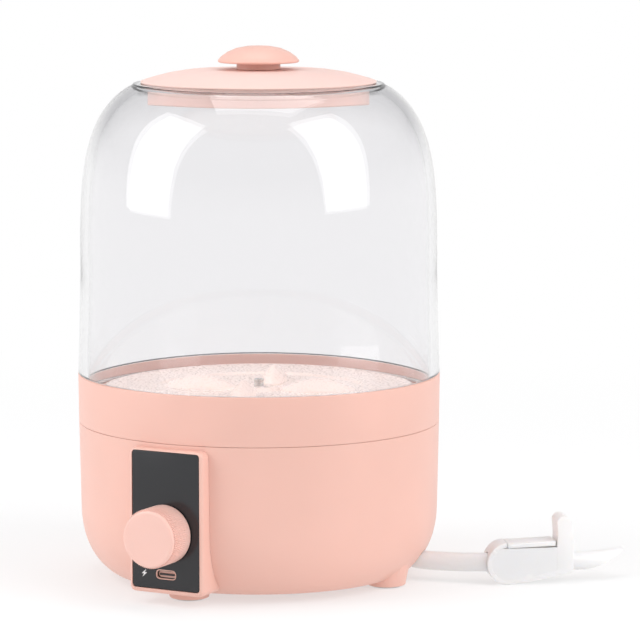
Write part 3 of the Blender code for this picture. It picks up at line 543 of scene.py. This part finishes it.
# %% Clear tub
TUB_CENTRE = (12.2, 130.0)
TUB_REACH = (63.8, 85.5)
TUB_WALL = 3.5
TUB_POWER = 3.65
MOUTH_R = 47.6
outer_wall = superellipse(TUB_CENTRE, TUB_REACH, TUB_POWER, even_angles(63.0, 0, 56))
inner_wall = superellipse(TUB_CENTRE, (TUB_REACH[0] - TUB_WALL, TUB_REACH[1] - TUB_WALL), TUB_POWER,
                          even_angles(0, 63.0, 56))
tub_profile = soften([(53.2, RIM_Z, 0.5)] + plain(outer_wall)
                     + [(RING_R, RING_TOP_Z + 0.3, 0.5), (74.6, RING_TOP_Z + 0.3, 0.2), (74.6, SPIGOT_Z, 0.4),
                        (72.5, SPIGOT_Z, 0.4)] + plain(inner_wall)
                     + [(MOUTH_R, 207.9, 0.8), (MOUTH_R, RIM_Z, 0.5)])
tub = turn_profile("tub_shell", tub_profile, steps=256, sharp=60)
tub.visible_shadow = False
show(tub, clear, "base", "clear_tub", slot="clear_plastic")

# %% [markdown]
# ## The lid
# The lid is a shallow dome with a skirt that drops into the mouth, and a mushroom knob on a short neck.

# %% Lid
crown = [(12.0, 216.6), (22.0, 216.5), (31.8, 216.1), (38.5, 215.0), (44.3, 213.55), (48.2, 212.4)]
cap_profile = soften([(0, 216.6, 0)] + plain(crown) + [(50.0, 211.8, 0.5), (50.0, RIM_Z + 0.2, 0.3),
                     (46.9, RIM_Z + 0.2, 0.2), (46.9, 202.6, 0.5), (45.2, 202.6, 0.5), (45.2, 211.6, 1.0),
                     (38.0, 213.2, 0), (30.0, 214.2, 0), (5.0, 214.4, 0), (5.0, 212.6, 0.4), (0, 212.6, 0)],
                     closed=False)
cap = turn_profile("lid_shell", cap_profile, closed=False, sharp=50)
show(cap, lid_pink, "lid", "lid_cap", slot="pale_pink_plastic")
knob_top = [(0, 226.7, 0), (5.0, 226.45, 0), (9.5, 225.6, 0), (13.2, 224.0, 0), (16.0, 222.0, 0),
            (17.4, 220.3, 0.9), (16.8, 219.6, 0.5), (9.3, 219.7, 0.4), (9.3, 216.7, 0.3), (0, 216.7, 0)]
lid_knob = turn_profile("lid_knob_dome", soften(knob_top, closed=False), closed=False, steps=96, sharp=50)
show(lid_knob, pink, "lid", "lid_knob", slot="pale_pink_plastic")

# %% [markdown]
# ## The pulsator
# The pulsator is a dished disc of milky plastic. Its middle is set down behind a low step, and four long domed
# fins stand on it to throw the water round.

# %% Pulsator
rim = PULSATOR_RIM_Z
disc_profile = soften([(0, rim - 1.2, 0), (7.6, rim - 1.2, 0.8), (9.2, rim - 2.6, 0.8), (30.0, rim - 2.3, 0),
                       (44.0, rim - 1.7, 0.6), (45.2, rim - 0.9, 0.5), (60.0, rim - 0.1, 0), (65.0, rim, 0.8),
                       (66.0, rim - 0.9, 0.4), (66.0, rim - 3.4, 0.3), (64.2, rim - 3.4, 0.3),
                       (64.2, rim - 2.3, 0.5), (45.0, rim - 3.2, 0), (30.0, rim - 4.4, 0), (10.0, rim - 4.8, 0),
                       (7.2, rim - 5.2, 0.3), (3.35, rim - 5.2, 0), (3.35, rim - 2.8, 0), (0, rim - 2.8, 0)],
                      closed=False)
pulsator = turn_profile("pulsator_disc", disc_profile, closed=False)


def long_dome(name, place, length, width, height):
    """A dome drawn in towards its crest, on a foot that sinks into the disc."""
    shape = bmesh.new()
    bmesh.ops.create_uvsphere(shape, u_segments=48, v_segments=32, radius=1.0)
    for vertex in shape.verts:
        up = max(vertex.co.z, 0.0)
        slim = 1 - 0.42 * up ** 1.5
        vertex.co.x *= length / 2 * slim * MM
        vertex.co.y *= width / 2 * slim * MM
        vertex.co.z *= (height if vertex.co.z > 0 else 1.2) * MM
    return finish_mesh(shape, name, place)


FIN_AZIMUTH = 14.0
FIN_RADIUS = 26.0
TALL_FIN = (26.0, 10.4, 6.9)
BROAD_FIN = (34.0, 18.0, 5.4)
fins = []
for number in range(4):
    azimuth = FIN_AZIMUTH + 90 * number
    spot = Matrix.Translation(AXIS + around(FIN_RADIUS, azimuth, rim - 2.6) * MM)
    turned_out = spot @ Matrix.Rotation(math.radians(azimuth - 90), 4, "Z")
    fins.append(long_dome(f"fin_{number}", turned_out, *(TALL_FIN, BROAD_FIN)[number % 2]))
carve(pulsator, fins, "UNION")
show(pulsator, milky, "pulsator", "pulsator", slot="milky_plastic")
print("pulsator faces:", len(pulsator.data.polygons))

# %% [markdown]
# ## The control panel
# The panel is a pink frame that grows out of the bowl, a glossy black window in it and a small collar round the
# socket. The frame is a rounded block with the bowl's own curve cut from its back, so that it sits on the bowl
# all the way down.

# %% Panel frame
bezel_low, bezel_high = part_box("panel_bezel")
window_low, window_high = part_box("panel_window")
PANEL_FRONT = bezel_low.y / MM - AXIS.y / MM
PANEL_MID_Z = (bezel_low.z + bezel_high.z) / 2 / MM
PANEL_W = (bezel_high.x - bezel_low.x) / MM
PANEL_H = (bezel_high.z - bezel_low.z) / MM
WINDOW_MID_Z = (window_low.z + window_high.z) / 2 / MM
WINDOW_W = (window_high.x - window_low.x) / MM
WINDOW_H = (window_high.z - window_low.z) / MM + 1.1


def rounded_box_outline(width, height, radius, count=8):
    x, y = width / 2, height / 2
    return soften([(-x, -y, radius), (x, -y, radius), (x, y, radius), (-x, y, radius)], count=count)


def facing_front(x, y, z):
    """Stands an outline up so that its own Z points out of the panel."""
    return Matrix.Translation(AXIS + Vector((x, y, z)) * MM) @ Matrix.Rotation(math.pi / 2, 4, "X")


bezel = extrude_outline("panel_frame", rounded_box_outline(PANEL_W, PANEL_H, 3.0), -18.0, 0.0,
                        facing_front(0, PANEL_FRONT, PANEL_MID_Z), bevel=1.5)
bowl_cutter = turn_profile("bowl_cutter", [(0, 80), (HOUSING_R + 0.1, 80), (HOUSING_R + 0.1, SEAM_Z)]
                           + [(radius + 0.1, z) for radius, z in outer_side]
                           + [(59.0, HOUSING_FLOOR_Z - 0.1), (0, HOUSING_FLOOR_Z - 0.1)], closed=False)
boss_cutter = turn_profile("boss_cutter", [(0, 12), (9.5, 12), (9.5, -1), (0, -1)], closed=False, steps=64,
                           place=Matrix.Translation(AXIS + around(FOOT_RADIUS, 0) * MM))
pocket = extrude_outline("window_pocket", rounded_box_outline(WINDOW_W + 0.5, WINDOW_H + 0.5, 1.8), -1.7, 4.0,
                         facing_front(0, PANEL_FRONT, WINDOW_MID_Z))
hollow = extrude_outline("frame_hollow", rounded_box_outline(28, 52.6, 1.0), -25, -3.2,
                         facing_front(0, PANEL_FRONT, 35.3))
for cutter in (bowl_cutter, boss_cutter, pocket, hollow):
    carve(bezel, [cutter])
show(bezel, pink, "base", "panel_bezel", slot="pink_plastic")

# %% Window
USB_Z = 13.2
KNOB_Z = 30.4
window = extrude_outline("window_plate", rounded_box_outline(WINDOW_W, WINDOW_H, 1.5), -1.4, -0.15,
                         facing_front(0, PANEL_FRONT, WINDOW_MID_Z), bevel=0.15)
socket_gap = extrude_outline("socket_gap", rounded_box_outline(9.7, 4.2, 2.09), -6, 4,
                             facing_front(0, PANEL_FRONT, USB_Z))
shaft_gap = turn_profile("shaft_gap", [(0, 6), (4.2, 6), (4.2, -6), (0, -6)], closed=False, steps=48,
                         place=facing_front(0, PANEL_FRONT, KNOB_Z))
for cutter in (socket_gap, shaft_gap):
    carve(window, [cutter])
show(window, window_black, "base", "panel_window", slot="black_glass_plastic")

# %% Socket collar and socket
collar = extrude_outline("socket_collar", rounded_box_outline(9.6, 4.1, 2.04), -1.3, -0.25,
                         facing_front(0, PANEL_FRONT, USB_Z), bevel=0.12)
collar_bore = extrude_outline("collar_bore", rounded_box_outline(8.96, 3.4, 1.69), -8, 4,
                              facing_front(0, PANEL_FRONT, USB_Z))
carve(collar, [collar_bore])
show(collar, pink, "base", slot="pink_plastic")
socket = extrude_outline("socket_shell", rounded_box_outline(8.94, 3.26, 1.62), -6.3, -1.2,
                         facing_front(0, PANEL_FRONT, USB_Z))
socket_bore = extrude_outline("socket_bore", rounded_box_outline(8.34, 2.66, 1.32), -6.0, 2,
                              facing_front(0, PANEL_FRONT, USB_Z))
carve(socket, [socket_bore])
show(socket, dark_steel, "base", "usb_socket", slot="steel")
bolt_outline = [(0.9, 1.7), (-1.3, -0.25), (-0.2, -0.25), (-0.9, -1.7), (1.3, 0.3), (0.2, 0.3)]
bolt = extrude_outline("charge_mark", bolt_outline, -0.22, -0.1, facing_front(-10.2, PANEL_FRONT, USB_Z))
show(bolt, print_white, "base", slot="white_plastic")

# %% [markdown]
# ## The control knob
# The knob is a plain drum with a flat face and a soft edge. Its side carries fine straight ribs for grip.
# The ribs repeat round a circle, so Geometry Nodes places them: one slim bar, copied on to the points of a
# circle and turned to face outwards.

# %% A tree that copies one shape round a circle


def ring_of_copies(name, shape_object, count, radius, material, place=ON_AXIS):
    """Geometry Nodes: instances of one mesh on a circle, turned outwards, then made real."""
    tree = bpy.data.node_groups.new(name, "GeometryNodeTree")
    tree.interface.new_socket("Count", in_out="INPUT", socket_type="NodeSocketInt")
    tree.interface.new_socket("Radius", in_out="INPUT", socket_type="NodeSocketFloat")
    tree.interface.new_socket("Geometry", in_out="OUTPUT", socket_type="NodeSocketGeometry")
    inputs = tree.nodes.new("NodeGroupInput")
    outputs = tree.nodes.new("NodeGroupOutput")
    circle = tree.nodes.new("GeometryNodeCurvePrimitiveCircle")
    points = tree.nodes.new("GeometryNodeCurveToPoints")
    copies = tree.nodes.new("GeometryNodeInstanceOnPoints")
    source = tree.nodes.new("GeometryNodeObjectInfo")
    where = tree.nodes.new("GeometryNodeInputPosition")
    outwards = tree.nodes.new("FunctionNodeAlignRotationToVector")
    outwards.axis = "X"
    outwards.pivot_axis = "Z"
    real = tree.nodes.new("GeometryNodeRealizeInstances")
    finish = tree.nodes.new("GeometryNodeSetMaterial")
    source.inputs["Object"].default_value = shape_object
    finish.inputs["Material"].default_value = material
    circle.inputs["Resolution"].default_value = count * 4
    link = tree.links.new
    link(inputs.outputs["Radius"], circle.inputs["Radius"])
    link(inputs.outputs["Count"], points.inputs["Count"])
    link(circle.outputs["Curve"], points.inputs["Curve"])
    link(points.outputs["Points"], copies.inputs["Points"])
    link(where.outputs["Position"], outwards.inputs["Vector"])
    link(outwards.outputs["Rotation"], copies.inputs["Rotation"])
    link(source.outputs["Geometry"], copies.inputs["Instance"])
    link(copies.outputs["Instances"], real.inputs["Geometry"])
    link(real.outputs["Geometry"], finish.inputs["Geometry"])
    link(finish.outputs["Geometry"], outputs.inputs["Geometry"])
    holder = add_to_scene(name, bpy.data.meshes.new(name))
    change = holder.modifiers.new(name, "NODES")
    change.node_group = tree
    sizes = {"Count": count, "Radius": radius * MM}
    for item in tree.interface.items_tree:
        if item.name in sizes:
            change[item.identifier] = sizes[item.name]
    graph = bpy.context.evaluated_depsgraph_get()
    graph.update()
    mesh = bpy.data.meshes.new_from_object(holder.evaluated_get(graph))
    holder.modifiers.clear()
    holder.data = mesh
    bpy.data.objects.remove(shape_object)
    mesh.transform(place)
    smooth(mesh, SHARP_ANGLE)
    return holder


# %% Knob
KNOB_RIBS = 88
KNOB_R = reach_of("control_knob")
knob_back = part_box("control_knob")[1].y / MM - AXIS.y / MM
knob_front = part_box("control_knob")[0].y / MM - AXIS.y / MM
KNOB_LENGTH = knob_back - knob_front
knob_place = facing_front(0, knob_back, KNOB_Z)
drum_profile = soften([(0, KNOB_LENGTH, 0), (KNOB_R - 0.75, KNOB_LENGTH, 1.3), (KNOB_R - 0.25, 0.0, 0.4),
                       (KNOB_R - 2.0, 0.0, 0.3), (KNOB_R - 2.0, KNOB_LENGTH - 2.4, 0.6),
                       (5.4, KNOB_LENGTH - 2.4, 0.5), (5.4, 0.6, 0.3), (3.35, 0.6, 0),
                       (3.35, KNOB_LENGTH - 3.6, 0), (0, KNOB_LENGTH - 3.6, 0)], closed=False)
drum = turn_profile("knob_drum", drum_profile, closed=False, steps=160, place=knob_place)
rib = extrude_outline("rib", soften([(-0.5, -0.21, 0), (0.05, -0.21, 0), (0.3, 0, 0.2), (0.05, 0.21, 0),
                                     (-0.5, 0.21, 0)], count=2), 0.35, KNOB_LENGTH - 1.5, AS_DRAWN)
ribs = ring_of_copies("knob_ribs", rib, KNOB_RIBS, KNOB_R - 0.45, knob_pink, knob_place)
show(drum, knob_pink, "knob", "control_knob", slot="pale_pink_plastic")
show(ribs, knob_pink, "knob", slot="pale_pink_plastic")

# %% [markdown]
# ## The clamp
# The clamp is one strip of springy plastic bent round on itself, with a tall post that latches over its upper
# arm. Two thin side walls keep the hose between the arms. The strip is drawn from the side as an outline and
# given the strip's width. The upper arm is its own piece, because it is the one that lifts.

# %% Clamp
CLAMP_PLACE = (Matrix.Translation(AXIS + Vector((95.9, 24.0, 0)) * MM)
               @ Matrix.Rotation(math.radians(35.4), 4, "Z") @ Matrix.Rotation(math.pi / 2, 4, "X"))
LOOP_R = 9.0
STRIP = 2.0
HALF_WIDTH = 6.0
GUARD_SIDES = {"left": (4.7, 5.9), "right": (-5.9, -4.7)}
POST_X = 29.8
PIVOT = (9.6, 16.7)
post_top = arc_points((POST_X + 3.2, 25.5), 3.4, 0, 160, 12)
strip_outline = arc_points((LOOP_R, LOOP_R), LOOP_R, 95, 270, 40)
strip_outline += soften([(12, 0.35, 0), (20, 1.3, 4), (36.4, 4.6, 0.8), (37.3, 6.0, 0.8), (37.3, 18, 0),
                         (36.6, 25.5, 0)], closed=False)[:-1] + post_top
strip_outline += soften([(POST_X, 25.4, 0), (POST_X + 0.5, 20, 2), (POST_X, 14, 2), (POST_X, 5.8, 1.2),
                         (20, 3.3, 0.5), (17.5, 4.8, 0.8), (15, 2.6, 0.5), (12, 2.3, 0)], closed=False)[1:]
strip_outline += arc_points((LOOP_R, LOOP_R), LOOP_R - STRIP, 270, 95, 40)
clamp_body = extrude_outline("clamp_strip", strip_outline, -HALF_WIDTH, HALF_WIDTH, CLAMP_PLACE, bevel=0.35)
guard_outline = arc_points((LOOP_R, LOOP_R), LOOP_R - STRIP / 2, 124.5, 262, 24)
guard_outline += [(20, 2.3), (POST_X + 1.2, 5.4), (POST_X + 1.2, 15.62)]
for side, (near, far) in GUARD_SIDES.items():
    carve(clamp_body, [extrude_outline(f"guard_{side}", guard_outline, near, far, CLAMP_PLACE)], "UNION")
for height in (4.0, 14.0):
    mark = turn_profile("pin_mark", soften([(0, 6.35, 0), (0.8, 6.35, 0.25), (0.95, 5.6, 0), (0, 5.6, 0)],
                                           closed=False), closed=False, steps=32,
                        place=CLAMP_PLACE @ Matrix.Translation(Vector((2.9, height, 0)) * MM))
    carve(clamp_body, [mark], "UNION")
carve(clamp_body, [sweep_tube("clamp_hole", hose_route[:34], (HOSE_R + HOSE_HOLE_GAP,))])
show(clamp_body, clamp_look, "base", "clamp_body", slot="translucent_clamp_plastic")
lever_outline = arc_points(PIVOT, 1.0, 90, 270, 10)
lever_outline += [(POST_X - 0.5, 16.3), (POST_X - 0.5, 18.3)]
lever = extrude_outline("clamp_arm_strip", lever_outline, -HALF_WIDTH, HALF_WIDTH, CLAMP_PLACE, bevel=0.3)
ridge_outline = soften([(15.1, 16.1, 0), (17.5, 14.1, 0.8), (19.9, 16.1, 0), (17.5, 17.1, 0)])
ridge = extrude_outline("lever_ridge", ridge_outline, -4.3, 4.3, CLAMP_PLACE)
carve(lever, [ridge], "UNION")
show(lever, clamp_look, "clamp_arm", "clamp_lever", slot="translucent_clamp_plastic")

# %% [markdown]
# ## Underside: feet, cover and screws
# Four soft pads, a round cover and four sunk screws close the bottom. Pads and screws repeat round the axis, so
# the same Geometry Nodes tree places them.

# %% Underside
pad = turn_profile("pad_shape", soften([(0, 0, 0), (PAD_R, 0, 0.6), (PAD_R, 1.9, 0.3), (0, 1.9, 0)], closed=False),
                   closed=False, steps=64, place=AS_DRAWN)
pads = ring_of_copies("foot_pads", pad, 4, FOOT_RADIUS, rubber)
show(pads, rubber, "base", *[f"foot_pad_{number}" for number in range(1, 5)], slot="grey_rubber")

COVER_R = reach_of("bottom_cover")
SCREW_R = 46.5
cover = turn_profile("bottom_plate", soften([(0, 5.3, 0), (COVER_R, 5.3, 0.2), (COVER_R, 3.0, 0.4), (0, 3.0, 0)],
                                            closed=False), closed=False)
well = turn_profile("well_shape", [(0, 4.3), (2.9, 4.3), (2.9, 2.0), (0, 2.0)], closed=False, steps=48,
                    place=AS_DRAWN)
quarter_turn = Matrix.Translation(AXIS) @ Matrix.Rotation(math.pi / 4, 4, "Z")
carve(cover, [ring_of_copies("screw_wells", well, 4, SCREW_R, pink, quarter_turn)])
show(cover, pink, "base", "bottom_cover", slot="pink_plastic")
head = turn_profile("screw_head", soften([(0, 3.05, 0), (1.6, 3.1, 0.6), (2.45, 3.7, 0.4), (2.45, 4.0, 0.1),
                                          (1.2, 4.0, 0), (1.2, 9.0, 0.3), (0, 9.0, 0)], closed=False),
                    closed=False, steps=40, place=AS_DRAWN)
for turned_by in (0, math.pi / 2):
    slot_cut = extrude_outline("driver_slot", [(-1.5, -0.3), (1.5, -0.3), (1.5, 0.3), (-1.5, 0.3)], 2.5, 3.6,
                               Matrix.Rotation(turned_by, 4, "Z"))
    carve(head, [slot_cut])
screws = ring_of_copies("cover_screws", head, 4, SCREW_R, steel, quarter_turn)
show(screws, steel, "base", *[f"cover_screw_{number}" for number in range(1, 5)], slot="steel")

# %% [markdown]
# ## Light and floor
# Pale plastic looks best in soft, even light. Two tall softboxes stand at the front left and right and leave the
# long highlights on the tub, and a weak one hangs above. The floor has no edge in sight: it fades to pure white
# with distance, so it meets the white surroundings without a line. The tub is set to cast no shadow. That is a
# shortcut: light gets through real clear plastic, and tracing it through the wall takes far more samples.

# %% Lights, floor and world
LIGHT_BOUNCES = 24
FLOOR_R = 3.0


def softbox(name, azimuth, elevation, width, height, power, distance=1.4, target_z=0.15):
    data = bpy.data.lights.new(name, "AREA")
    data.shape = "RECTANGLE"
    data.size = width
    data.size_y = height
    data.energy = power
    made = add_to_scene(name, data)
    up = math.radians(elevation)
    target = AXIS + Vector((0, 0, target_z))
    flat = around(1.0, CAMERA_AZIMUTH + azimuth)
    made.location = target + (flat * math.cos(up) + Vector((0, 0, math.sin(up)))) * distance
    made.rotation_euler = (made.location - target).to_track_quat("Z", "Y").to_euler()


softbox("left_softbox", -75.6, 27, 0.95, 1.45, 11.5)
softbox("right_softbox", 58.4, 31, 0.90, 1.6, 11.5)
softbox("top_softbox", 170, 82, 0.9, 0.9, 4)

floor_shape = bmesh.new()
bmesh.ops.create_circle(floor_shape, cap_ends=True, segments=96, radius=FLOOR_R)
floor = finish_mesh(floor_shape, "floor")
floor_look, floor_tree, floor_shader = new_material("pale_floor")
floor_place = floor_tree.nodes.new("ShaderNodeTexCoord")
floor_reach = floor_tree.nodes.new("ShaderNodeVectorMath")
floor_reach.operation = "LENGTH"
floor_tree.links.new(floor_place.outputs["Object"], floor_reach.inputs[0])
for socket, near, far in (("Base Color", 0.42, 0.0), ("Emission Strength", 0.52, 1.0)):
    fade = floor_tree.nodes.new("ShaderNodeMapRange")
    fade.interpolation_type = "SMOOTHSTEP"
    fade.inputs["From Min"].default_value = 0.12
    fade.inputs["From Max"].default_value = 0.7
    fade.inputs["To Min"].default_value = near
    fade.inputs["To Max"].default_value = far
    floor_tree.links.new(floor_reach.outputs["Value"], fade.inputs["Value"])
    floor_tree.links.new(fade.outputs["Result"], floor_shader.inputs[socket])
floor_shader.inputs["Roughness"].default_value = 0.9
floor_shader.inputs["Specular IOR Level"].default_value = 0.0
floor_shader.inputs["Emission Color"].default_value = (1, 1, 1, 1)
floor.data.materials.append(floor_look)

world = bpy.data.worlds.new("studio")
world.use_nodes = True
bpy.context.scene.world = world
sky = world.node_tree
background = sky.nodes["Background"]
direction = sky.nodes.new("ShaderNodeTexCoord")
split = sky.nodes.new("ShaderNodeSeparateXYZ")
fall = sky.nodes.new("ShaderNodeValToRGB")
fall.color_ramp.elements[0].position = 0.50
fall.color_ramp.elements[0].color = (1.0, 1.0, 1.0, 1)
fall.color_ramp.elements[1].position = 0.62
fall.color_ramp.elements[1].color = (0.62, 0.62, 0.63, 1)
shift = sky.nodes.new("ShaderNodeMath")
shift.operation = "MULTIPLY_ADD"
shift.inputs[1].default_value = 0.5
shift.inputs[2].default_value = 0.5
sky.links.new(direction.outputs["Generated"], split.inputs["Vector"])
sky.links.new(split.outputs["Z"], shift.inputs[0])
sky.links.new(shift.outputs[0], fall.inputs["Fac"])
sky.links.new(fall.outputs["Color"], background.inputs["Color"])
bpy.context.scene.view_settings.view_transform = "Standard"
bpy.context.scene.cycles.max_bounces = LIGHT_BOUNCES
bpy.context.scene.cycles.transmission_bounces = LIGHT_BOUNCES
print("lights:", len(bpy.data.lights))

# %% [markdown]
# ## Finishes for the inner pieces
# The motor, gearbox, board and screws are hidden inside, and their solid shapes are good as they are. Each one
# only gets the finish that its material slot names.

# %% Hidden pieces keep their CAD shape
LOOKS = {"steel": steel, "brass": brass, "white_plastic": white_plastic, "black_plastic": black,
         "board_green": board_green, "red_wire": red_wire, "black_wire": black_wire, "grey_rubber": rubber,
         "pink_plastic": pink, "pale_pink_plastic": lid_pink, "milky_plastic": milky,
         "black_glass_plastic": window_black, "clear_plastic": clear, "translucent_clamp_plastic": clamp_look}
for subpart in frame["record"]["subparts"]:
    node = nodes[subpart["node"]]
    node.data.materials.clear()
    node.data.materials.append(LOOKS[subpart["material_slot"]])
